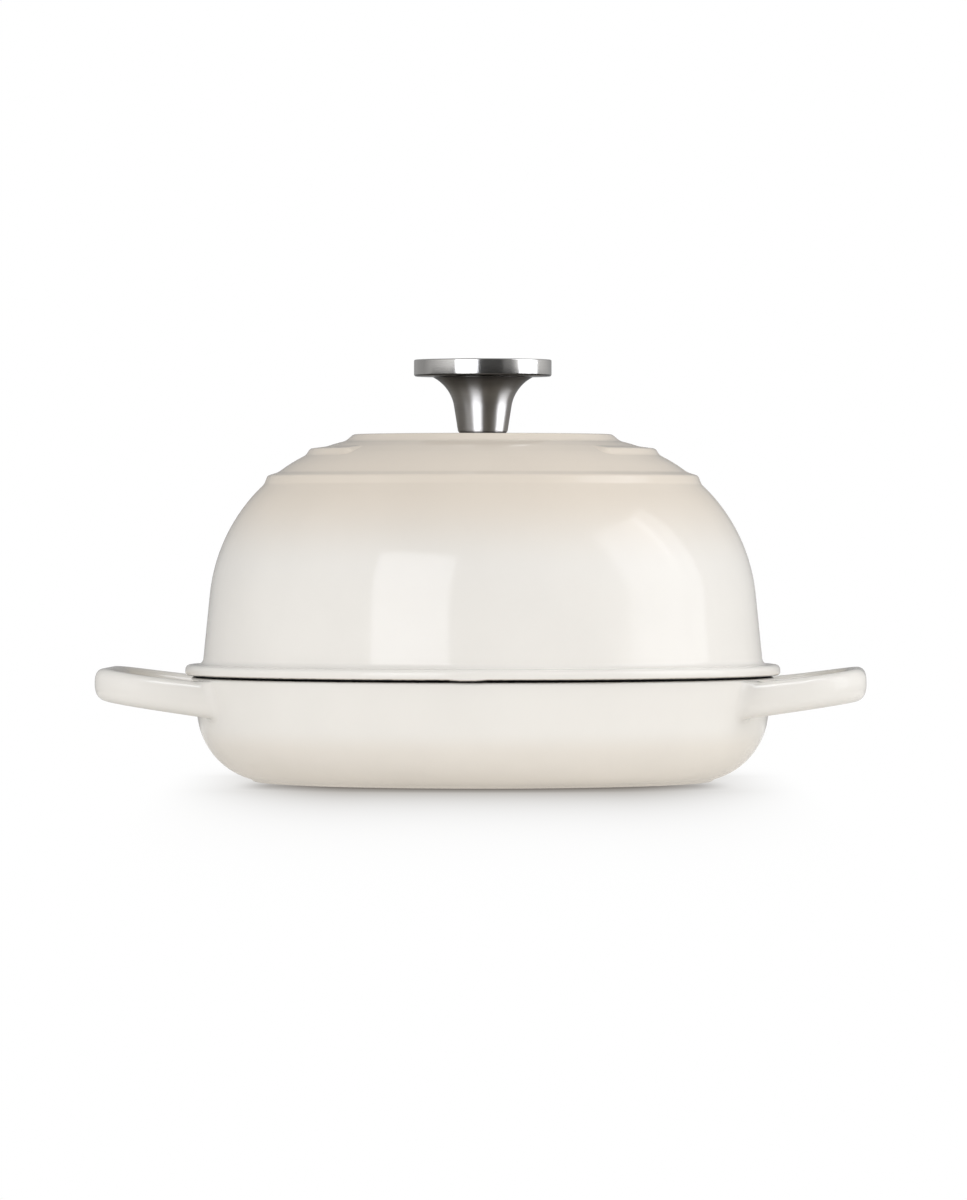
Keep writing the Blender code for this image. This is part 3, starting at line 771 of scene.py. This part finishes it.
def steel(name, colours, roughness, line, depth, lay_strength):
    """Steel worked in rings round Z, with lines of this pitch and depth, and a gloss that varies with them.

    The colours are stops for how far a side faces down, as painted shade: darker where a side faces down and
    sees only the shaded lid close by.
    The stronger the lay, the more the lines draw each reflection out across them.
    """
    global tree
    metal = bpy.data.materials.new(name)
    metal.use_nodes = True
    tree = metal.node_tree
    # Painted shade: the base colour darkens as the side faces down
    upward = parts(add("NewGeometry").outputs["Normal"])["Z"]
    shade = add("ValToRGB", {"Fac": calc("MULTIPLY", upward, -1.0)})
    shade.color_ramp.elements.new(0.5)
    for stop, (place, colour) in zip(shade.color_ramp.elements, colours):
        stop.position = place
        stop.color = linear(colour)
    spot = add("TexCoord").outputs["Object"]
    out = vectors("LENGTH", vectors("MULTIPLY", spot, (1.0, 1.0, 0.0))[0])["Value"]
    # A ring runs round Z, so the lines depend on the radius and the height, and drift only slowly round
    ring = add("CombineXYZ", {0: out, 1: parts(spot)["Z"]})
    drift = vectors("MULTIPLY", spot, (line_drift, line_drift, 0.0))[0]
    lines = noise(vectors("ADD", ring, drift)[0], line, 3.0)
    # The lay of the lines, square to the radius
    across = vectors("CROSS_PRODUCT", (0.0, 0.0, 1.0), spot)[0]
    surface = {
        "Metallic": 1.0,
        "Base Color": shade,
        "Roughness": ramp(lines, *noise_span, *(roughness * share for share in gloss_spread)),
        "Normal": add("Bump", {"Height": lines, "Distance": depth, "Strength": 1.0}),
        "Anisotropic": lay_strength,
        "Anisotropic Rotation": 0.25,
        "Tangent": vectors("NORMALIZE", across)[0],
    }
    feed(tree.nodes["Principled BSDF"], surface)
    return metal


# Satin stainless steel: a warm grey whose rings draw the lamps out into tall, soft-edged streaks, painted
# dark as shade where the flare faces down under the cap
satin_steel = steel(
    "Stainless steel, turned satin",
    colours=((0.05, "#A3A19E"), (0.45, "#A3A19E"), (0.90, "#3A3937")),
    roughness=0.42,
    line=0.00035,
    depth=0.0000015,
    lay_strength=1.0,
)

# The flare is an arc that touches the tapered side and ends at the rim under the cap
flare_height = cap_low.z - seat_clearance
stem_foot = Vector((stem_foot_radius, stem_low.z))
flare_rim = Vector((stem_high.x, flare_height - flare_edge))
up_side = Vector((sin(stem_taper), cos(stem_taper)))
off_side = Vector((up_side.y, -up_side.x))
apart = stem_foot + off_side * flare_sweep - flare_rim
slid = -apart.dot(up_side) - sqrt(apart.dot(up_side) ** 2 - apart.length_squared + flare_sweep**2)
sweep_centre = stem_foot + off_side * flare_sweep + up_side * slid
sweep_end = atan2(flare_rim.y - sweep_centre.y, flare_rim.x - sweep_centre.x)
side = arc(sweep_centre, flare_sweep, sweep_end, pi - stem_taper, turn=2.5)
bore = bush_high.x + seat_clearance
spigot_corners = [
    (spigot_radius - stem_wall, flare_height),
    (spigot_radius - stem_wall, stem_high.z, spigot_inner_round),
    (spigot_radius, stem_high.z, spigot_top_round),
    (spigot_radius, flare_height, spigot_inner_round),
    (stem_high.x, flare_height, flare_edge_round),
    (*side[0], flare_edge_round),
    side[1],
]
foot_corners = [
    side[-1],
    (*stem_foot, stem_foot_round),
    (bore, stem_foot.y, bore_round),
    (bore, bush_high.z),
]
hollow = [Vector((bore, bush_high.z + seat_clearance))]
stem_profile = rounded(spigot_corners, turn=15.0) + side[2:-1] + rounded(foot_corners) + hollow
stem = turned("knob_stem_turning", stem_profile, satin_steel, Segments=192, Closed=1)
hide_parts("knob_stem")
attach(stem, "lid")


# Knob cap
# A thick stainless steel disc, turned with a shallow dish on top and a pocket below, which is a press fit on
# the stem's spigot. It is brushed round, and its edges are broken but crisp.

cap_edge_round = 0.0009
cap_top_round = 0.0006
cap_dish_radius = 0.0215
cap_dish_depth = 0.0005
cap_dish_round = 0.004
cap_wall = 0.0018
pocket_edge_round = 0.0003
pocket_round = 0.0006

# Brushed stainless steel: bright and dark panels with clear edges, crossed by fine lines that run round, and
# painted dark as shade on the underside and lower edge
brushed_steel = steel(
    "Stainless steel, brushed round",
    colours=((0.05, "#D0CECB"), (0.40, "#4A4947"), (0.90, "#2E2D2C")),
    roughness=0.17,
    line=0.00030,
    depth=0.000007,
    lay_strength=0.7,
)

pocket = spigot_radius + seat_clearance
pocket_top = cap_high.z - cap_dish_depth - cap_wall
cap_corners = [
    (0, cap_high.z - cap_dish_depth),
    (cap_dish_radius, cap_high.z - cap_dish_depth, cap_dish_round),
    (cap_dish_radius + 4 * cap_dish_depth, cap_high.z, cap_dish_round),
    (cap_high.x, cap_high.z, cap_top_round),
    (cap_high.x, cap_low.z, cap_edge_round),
    (pocket, cap_low.z, pocket_edge_round),
    (pocket, pocket_top, pocket_round),
    (0, pocket_top),
]
cap = turned("knob_cap_disc", rounded(cap_corners, turn=10.0), brushed_steel, Segments=256)
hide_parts("knob_cap")
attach(cap, "lid")


# Knob bush
# A threaded bush of free-cutting steel, pressed into the stem from below. Straight knurls round it grip the
# bore.

knurl_count = 36
knurl_depth = 0.00022
points_per_knurl = 8
groove_depth = 0.0001
bush_bevel = 0.0004
bore_bevel = 0.0005
thread_radius = 0.0030
hole_clearance = 0.0004
clear_radius = thread_radius + hole_clearance
crease_angle = radians(40.0)

# Plain turned steel: a grey with the marks of the tool, duller than the knob, and a little darker where it
# faces down, as painted shade
turned_steel = steel(
    "Plain steel, machine turned",
    colours=((0.05, "#B4B2AE"), (0.45, "#ACAAA6"), (0.90, "#A3A19E")),
    roughness=0.34,
    line=0.00040,
    depth=0.000006,
    lay_strength=0.2,
)


def ring_at(radius, height, angles):
    """A ring of points round Z, where the radius and the height may differ from point to point."""
    return np.stack([radius * np.cos(angles), radius * np.sin(angles), height + 0 * angles], -1)


angles = full_turn(points_per_knurl * knurl_count)
ridge_wave = 0.5 - 0.5 * np.cos(knurl_count * angles)
bevelled = bush_high.x - bush_bevel
grooved = bush_high.x - groove_depth - knurl_depth
knurled = bush_high.x - knurl_depth * ridge_wave
places = (
    (bevelled, bush_low.z),
    (grooved, bush_low.z + bush_bevel),
    (knurled, bush_low.z + 2 * bush_bevel),
    (knurled, bush_high.z - 2 * bush_bevel),
    (grooved, bush_high.z - bush_bevel),
    (bevelled, bush_high.z),
    (clear_radius + bore_bevel, bush_high.z),
    (clear_radius, bush_high.z - bore_bevel),
    (clear_radius, bush_low.z + bore_bevel),
    (clear_radius + bore_bevel, bush_low.z),
)
bush_rings = [ring_at(*place, angles) for place in places]
bush = skinned("knob_bush", bush_rings, turned_steel, True, crease_angle)
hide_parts("knob_insert")
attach(bush, "lid")


# Knob screw
# A pan head M6 screw of plain steel with a rolled thread. It goes up through the lid from inside, and its
# head has a cross recess for the driver.

screw_low, screw_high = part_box("knob_screw")
screw_sides = 96
head_height = 0.0032
head_dome = 0.35
head_shoulder = 0.12
head_bevel = 0.0002
centre_radius = 0.00002
first_radius = 0.00025
head_step = 0.00012
cross_margin = 0.0003
dome_margin = 0.0005
dome_steps = 9
shoulder_power = 6
cross_reach = 0.0023
slot_half_width = 0.00055
recess_depth = 0.0018
recess_side_slope = 0.00012
recess_end_slope = 0.0007
thread_pitch = 0.0010
thread_depth = 0.00055
thread_steps = 10
thread_lead = 0.0005
thread_stop = 0.0001
flank_slope = 1.25
crest_share = 0.1
screw_tip_bevel = 0.0006

head_top = screw_low.z + head_height
head_radius = screw_high.x
angles = full_turn(screw_sides)


def recess_at(radius):
    """How deep the cross recess is at each angle, this far from the middle."""
    x, y = np.abs(radius * np.cos(angles)), np.abs(radius * np.sin(angles))
    side = np.clip((slot_half_width - np.minimum(x, y)) / recess_side_slope + 0.5, 0, 1)
    return recess_depth * side * np.clip((cross_reach - np.maximum(x, y)) / recess_end_slope, 0, 1)


screw_rings = []
crossed = np.arange(first_radius, cross_reach + cross_margin, head_step)
for radius in (centre_radius, *crossed):
    sag = head_dome * head_height * (radius / head_radius) ** 2
    screw_rings.append(ring_at(radius, screw_low.z + sag + recess_at(radius), angles))
for share in np.linspace(0.0, 1.0, dome_steps):
    radius = (cross_reach + dome_margin) * (1 - share) + head_radius * share
    drop = head_height * (head_dome * (radius / head_radius) ** 2 + head_shoulder * share**shoulder_power)
    screw_rings.append(ring_at(radius, screw_low.z + drop, angles))
screw_rings.append(ring_at(head_radius, head_top - head_bevel, angles))
screw_rings.append(ring_at(head_radius - head_bevel, head_top, angles))
height = head_top
while height < screw_high.z - thread_stop:
    phase = ((height - head_top) / thread_pitch - angles / tau) % 1.0
    trough = np.clip(flank_slope * np.abs(2 * phase - 1) - crest_share, 0, 1)
    past_head = max(0.0, (height - head_top - thread_lead) / thread_pitch)
    entry = min(1.0, past_head, max(0.0, (screw_high.z - height) / thread_pitch))
    bevel = max(0.0, screw_tip_bevel - (screw_high.z - height))
    screw_rings.append(ring_at(thread_radius - thread_depth * trough * entry - bevel, height, angles))
    height += thread_pitch / thread_steps
screw_rings.append(ring_at(thread_radius - screw_tip_bevel, screw_high.z, angles))
screw = skinned("knob_screw_m6", screw_rings, turned_steel, False, crease_angle)
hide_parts("knob_screw")
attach(screw, "lid")


# Lock washer
# A spring washer: square wire of spring steel coiled and cut at a slant, so that its two ends bite.

spring_low, spring_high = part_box("lock_washer")
split_width = 0.0010
split_slant = radians(25.0)
wire_round = 0.00015
coil_steps = 73


def washer_section(low, high, first_round, second_round, turn):
    """A washer's section, from the middle of its top out over its four edges, rounded in turns."""
    middle = (clear_radius + high.x) / 2, high.z
    edges = [
        (high.x, high.z, first_round),
        (high.x, low.z, second_round),
        (clear_radius, low.z, first_round),
        (clear_radius, high.z, second_round),
    ]
    return rounded([middle, *edges, middle], turn)[:-1]


wire = washer_section(spring_low, spring_high, wire_round, wire_round, 30.0)
wire_out = np.array([p.x for p in wire])
wire_height = np.array([p.y for p in wire])
cut_shift = -(wire_height - (spring_high.z + spring_low.z) / 2) * tan(split_slant)
half_cut = split_width / 2 / cos(split_slant)
starts = np.arcsin((cut_shift + half_cut) / wire_out)
stops = tau + np.arcsin((cut_shift - half_cut) / wire_out)
turns = [starts + (stops - starts) * share for share in np.linspace(0.0, 1.0, coil_steps)]
coil = [ring_at(wire_out, wire_height, turn) for turn in turns]
spring = skinned("spring_washer", coil, turned_steel, False, crease_angle)
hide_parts("lock_washer")
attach(spring, "lid")


# Flat washer
# Stamped from steel strip, which leaves one edge rounded and the other crisp. It spreads the load on the
# enamel.

flat_low, flat_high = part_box("flat_washer")
rounded_edge = 0.0003
crisp_edge = 0.0001

washer_profile = washer_section(flat_low, flat_high, rounded_edge, crisp_edge, 20.0)
washer = turned("plain_washer", washer_profile, turned_steel, Segments=96, Closed=1)
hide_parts("flat_washer")
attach(washer, "lid")


# Studio
# A white sweep, lit by a tall softbox on the left and a broad one on the right, with a dark room on the
# camera's side. All angles are in degrees, and azimuths are counted from the camera, to the right of it.
# What the pieces mirror is set apart from what lights them, as a retouched studio photograph has it.

view_turn = radians(2.8)
camera_distance = 3.2
camera_height = 0.108
aim_height = 0.0755
side_shift = 0.0003
lens = 230.0
sensor_height = 36.0

# The room's light at each azimuth, near the horizon and overhead, as mirrored and as scattered
mirrored_low = (
    (-180, 0.30), (-150, 0.40), (-115, 0.36), (-82, 0.74), (-55, 1.10), (-8, 0.14), (-3, 0.09), (32, 0.09),
    (36, 0.25), (50, 0.35), (62, 1.10), (112, 0.82), (150, 0.42), (180, 0.30),
)
mirrored_high = ((-180, 0.30), (0, 0.20), (180, 0.30))
scattered_low = ((-180, 0.92), (-90, 1.36), (0, 0.84), (90, 1.46), (180, 0.92))
scattered_high = ((-180, 0.40), (-90, 0.16), (0, 0.26), (90, 0.62), (180, 0.40))
mirrored_lift = (30.0, 60.0)
scattered_lift = (15.0, 60.0)
room_scale = 4.0
white = (1.0, 1.0, 1.0, 1.0)


def from_camera(vector):
    """The vector's parts to the right of the view's direction, along it and up."""
    turned_back = {"Vector": vector, "Angle": -view_turn}
    return parts(add("VectorRotate", turned_back, rotation_type="Z_AXIS"))


world = bpy.data.worlds.new("Studio")
bpy.context.scene.world = world
world.use_nodes = True
world.cycles.sampling_method = "NONE"
tree = world.node_tree
tree.nodes.clear()
at = from_camera(add("TexCoord").outputs["Generated"])
azimuth = calc("ARCTAN2", at["X"], calc("MULTIPLY", at["Y"], -1.0))
elevation = calc("ARCSINE", at["Z"])
share_round = ramp(azimuth, -pi, pi)


def room_light(low, high, lift):
    """The room's light in every direction: one row of levels near the horizon, and another overhead."""
    rows = []
    for levels in (low, high):
        row = add("ValToRGB", {"Fac": share_round})
        stops = row.color_ramp.elements
        while len(stops) < len(levels):
            stops.new(0.5)
        for stop, (place, level) in zip(stops, levels):
            stop.position = (place + 180.0) / 360.0
            stop.color = (*(level / room_scale,) * 3, 1.0)
        rows.append(row.outputs[0])
    return blend(ease(elevation, *(radians(a) for a in lift)), *rows)


mirrored = room_light(mirrored_low, mirrored_high, mirrored_lift)
scattered = room_light(scattered_low, scattered_high, scattered_lift)
path = add("LightPath").outputs
either = blend(path["Is Glossy Ray"], scattered, mirrored)
room = add("Background", {"Color": either, "Strength": room_scale})
backdrop = add("Background", {"Color": white, "Strength": 1.0})
shown = add("MixShader", {0: path["Is Camera Ray"], 1: room, 2: backdrop})
add("OutputWorld", {0: shown})


def panel(name, azimuths, elevations, distance, level):
    """A softbox that spans these angles seen from the oven."""
    turn = view_turn - pi / 2 + radians(sum(azimuths) / 2)
    lift = radians(sum(elevations) / 2)
    towards = Vector((cos(lift) * cos(turn), cos(lift) * sin(turn), sin(lift)))
    lamp = bpy.data.lights.new(name, "AREA")
    lamp.shape = "RECTANGLE"
    lamp.size = 2 * distance * tan(radians(azimuths[1] - azimuths[0]) / 2)
    lamp.size_y = 2 * distance * tan(radians(elevations[1] - elevations[0]) / 2)
    # A flat lamp's radiance is its power over pi times its area
    lamp.energy = level * pi * lamp.size * lamp.size_y
    softbox = placed(name, lamp)
    softbox.location = distance * towards + Vector((0, 0, aim_height))
    softbox.rotation_euler = (-towards).to_track_quat("-Z", "Y").to_euler()
    softbox.visible_camera = False
    return softbox


# The softboxes, which light the pieces softly: name, azimuths, elevations, distance and level
for row in (
    ("softbox_left", (-45.5, -8.5), (-2.0, 36.5), 1.6, 1.9),
    ("softbox_right", (63.0, 104.0), (-2.0, 43.5), 1.6, 1.5),
):
    box = panel(*row)
    box.visible_glossy = False
    # Sampled one way only, so that the lamps linked to single pieces can't shift its level
    box.data.cycles.use_multiple_importance_sampling = False

# Their reflections, each in the pieces that end its row, or in all: the two boxes, their paler edges in the
# cap, the tall streaks that the turned stem draws out of them, and two strips along the handles' tops
lamp_colour = "#F4F7FF"
for *row, seen_by in (
    ("mirrored_left", (-45.5, -14.0), (-2.0, 36.5), 1.5, 4.4, (lid, stem, cap)),
    ("mirrored_right", (62.0, 91.0), (-2.0, 46.5), 1.5, 2.35, ()),
    ("mirrored_right_edge", (91.0, 104.0), (-2.0, 46.5), 1.5, 1.85, (lid, stem, cap)),
    ("cap_left", (-15.0, -8.0), (-2.0, 36.5), 1.4, 2.5, (cap,)),
    ("stem_left", (-39.0, -7.0), (20.0, 42.0), 1.4, 27.0, (stem,)),
    ("stem_side", (-80.0, -47.0), (20.0, 42.0), 1.4, 2.6, (stem,)),
    ("stem_right", (71.0, 111.0), (20.0, 42.0), 1.4, 25.0, (stem,)),
    ("overhead_left", (-45.0, -5.0), (60.0, 78.0), 1.3, 3.0, (pan,)),
    ("overhead_right", (0.0, 50.0), (60.0, 78.0), 1.3, 7.0, (pan,)),
):
    box = panel(*row)
    box.data.color = linear(lamp_colour)[:3]
    box.visible_diffuse = False
    if seen_by:
        pieces = bpy.data.collections.new("Sees " + box.name)
        for piece in seen_by:
            pieces.objects.link(piece)
        box.light_linking.receiver_collection = pieces

# White acrylic, matt: its light on the oven falls off with distance, and sooner in reflections. A little
# light of its own stands in for what bounces under the foot, and for the bright far end.
sweep_corners = ((-6, -6, 0), (6, -6, 0), (6, 6, 0), (-6, 6, 0))
sweep_colour = "#E4E2DE"
unlit_colour = "#202020"
sweep_edges = (0.75, 0.40)
mirrored_edges = (0.45, 0.25)
sweep_fill = 0.12
foot_fill = 0.11
foot_fill_edges = (0.125, 0.085)
sweep_horizon = 0.35
horizon_edges = (0.05, 0.40)
painted_shadow_colour = "#B7B3AE"
shadow_sides = (0.135, 0.050)
shadow_front = (-0.125, -0.150)
shadow_back = (0.060, 0.060)
painted_contact_colour = "#9A9590"
contact_reach = 0.035
contact_front = (0.010, -0.090)
contact_sides = (0.104, 0.086)

acrylic = bpy.data.materials.new("White acrylic sweep")
acrylic.use_nodes = True
tree = acrylic.node_tree
tree.nodes.clear()
spot = add("TexCoord").outputs["Object"]
away = vectors("LENGTH", spot)["Value"]
path = add("LightPath").outputs
at = from_camera(spot)
reaches = {0: path["Is Glossy Ray"], 2: ease(away, *sweep_edges), 3: ease(away, *mirrored_edges)}
lit_share = add("Mix", reaches, data_type="FLOAT").outputs[0]
shade = blend(lit_share, linear(unlit_colour), linear(sweep_colour))
matt = add("BsdfDiffuse", {"Color": shade})
near_foot = ease(away, *foot_fill_edges, foot_fill)
horizon = calc("MULTIPLY", ease(at["Y"], *horizon_edges, sweep_horizon), path["Is Glossy Ray"])
glow = calc("ADD", calc("MULTIPLY_ADD", lit_share, sweep_fill, near_foot), horizon)
lit = add("AddShader", {0: matt, 1: add("Emission", {"Strength": glow})})

# What the camera sees of it is white, with a painted shadow: a soft one laid forwards of the oven, and a
# darker one where the foot meets it
sideways = calc("ABSOLUTE", at["X"])
shadow = ease(sideways, *shadow_sides)
for start, fade in (shadow_front, shadow_back):
    fades = calc("MINIMUM", calc("MULTIPLY_ADD", at["Y"], -1 / fade, start / fade), 0.0)
    shadow = calc("MULTIPLY", shadow, calc("EXPONENT", fades))
cast = blend(shadow, white, linear(painted_shadow_colour))
opened = add("AmbientOcclusion", {"Distance": contact_reach}, samples=16).outputs["AO"]
closed = calc("SUBTRACT", 1.0, opened)
beneath = calc("MULTIPLY", closed, ease(sideways, *contact_sides))
in_front = calc("MULTIPLY", beneath, ease(at["Y"], *contact_front))
contact = blend(in_front, white, linear(painted_contact_colour))
tone = blend(1.0, cast, contact, blend_type="MULTIPLY")
seen = add("Emission", {"Color": tone, "Strength": 1.0})
shown = add("MixShader", {0: path["Is Camera Ray"], 1: lit, 2: seen})
add("OutputMaterial", {0: shown})
mesh = bpy.data.meshes.new("sweep")
mesh.from_pydata(sweep_corners, [], [(0, 1, 2, 3)])
mesh.materials.append(acrylic)
sweep = placed("sweep", mesh)

camera = bpy.data.cameras.new("Camera")
camera.sensor_fit = "VERTICAL"
camera.sensor_height = sensor_height
camera.lens = lens
eye = placed("Camera", camera)
turned_view = Matrix.Rotation(view_turn, 4, "Z")
eye.location = turned_view @ Vector((side_shift, -camera_distance, camera_height))
aim = turned_view @ Vector((side_shift, 0, aim_height))
eye.rotation_euler = (aim - eye.location).to_track_quat("-Z", "Y").to_euler()
bpy.context.scene.camera = eye
bpy.context.scene.view_settings.view_transform = "Standard"
